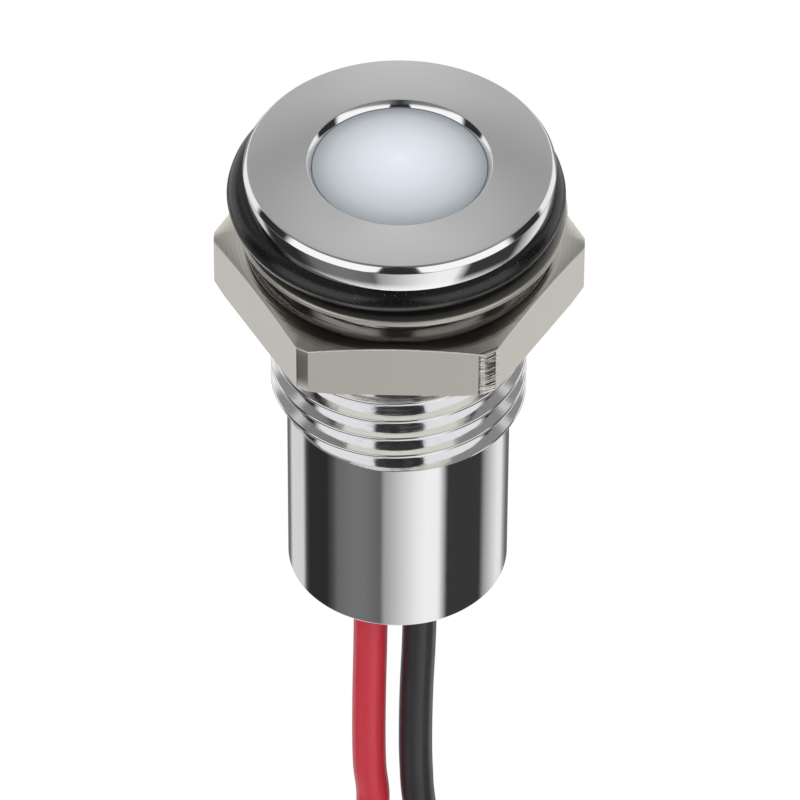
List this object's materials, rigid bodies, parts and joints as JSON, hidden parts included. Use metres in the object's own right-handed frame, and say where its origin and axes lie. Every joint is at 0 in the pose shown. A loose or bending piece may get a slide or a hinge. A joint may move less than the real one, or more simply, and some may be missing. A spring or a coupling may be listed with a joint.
{
  "type": "panel pilot light",
  "caption": "Small round indicator light for a panel hole: a chromed threaded body with a glowing domed lens, sealing ring, washer, hexagon nut and red and black leads.",
  "frame": {"origin": "on the axis, at the underside of the flange, where the panel's front face comes", "axes": "+Z out of the panel's front along the axis, -Y towards the viewer, +X to the viewer's right with the red lead on the left"},
  "size_m": [0.0114, 0.0109, 0.066],
  "materials": {
    "chrome": "turned brass, bright nickel-chrome plate",
    "nickel": "turned and stamped metal, dull nickel plate",
    "rubber_seal": "black nitrile rubber, a little shiny",
    "diffuser": "white diffusing plastic, lit from behind",
    "nylon": "white nylon",
    "epoxy": "clear epoxy",
    "tinned": "tinned copper",
    "solder": "solder",
    "resistor": "lacquered ceramic",
    "sleeve": "black heat-shrink tube",
    "resin": "black potting resin",
    "red_pvc": "red PVC wire insulation",
    "black_pvc": "black PVC wire insulation"
  },
  "bodies": {
    "lamp": {"housing": "chrome", "sealing_ring": "rubber_seal", "diffuser_lens": "diffuser", "led_holder": "nylon", "led_body": "epoxy", "led_anode_leg": "tinned", "led_cathode_leg": "tinned", "resistor_body": "resistor", "resistor_front_lead": "tinned", "resistor_rear_lead": "tinned", "anode_solder": "solder", "red_solder": "solder", "black_solder": "solder", "red_conductor": "tinned", "black_conductor": "tinned", "red_sleeve": "sleeve", "black_sleeve": "sleeve", "potting_resin": "resin", "red_lead": "red_pvc", "black_lead": "black_pvc", "red_hank": "red_pvc", "black_hank": "black_pvc", "hank_tie": "black_pvc", "red_lead_end": "red_pvc", "black_lead_end": "black_pvc", "red_lead_tip": "tinned", "black_lead_tip": "tinned"},
    "washer": {"flat_washer": "nickel"},
    "nut": {"hex_nut": "nickel"}
  },
  "joints": [
    {"name": "washer_slide", "type": "slide", "parent": "lamp", "child": "washer", "axis": [0, 0, -1], "range_m": [0, 0.0064]},
    {"name": "nut_turn", "type": "hinge", "parent": "washer", "child": "nut", "pos_m": [0, 0, -0.00312], "axis": [0, 0, -1], "range_deg": [0, 3072]}
  ],
  "couplings": [
    {"joint": "nut_turn", "follows": "washer_slide", "rad_per_m": 8377.6}
  ]
}
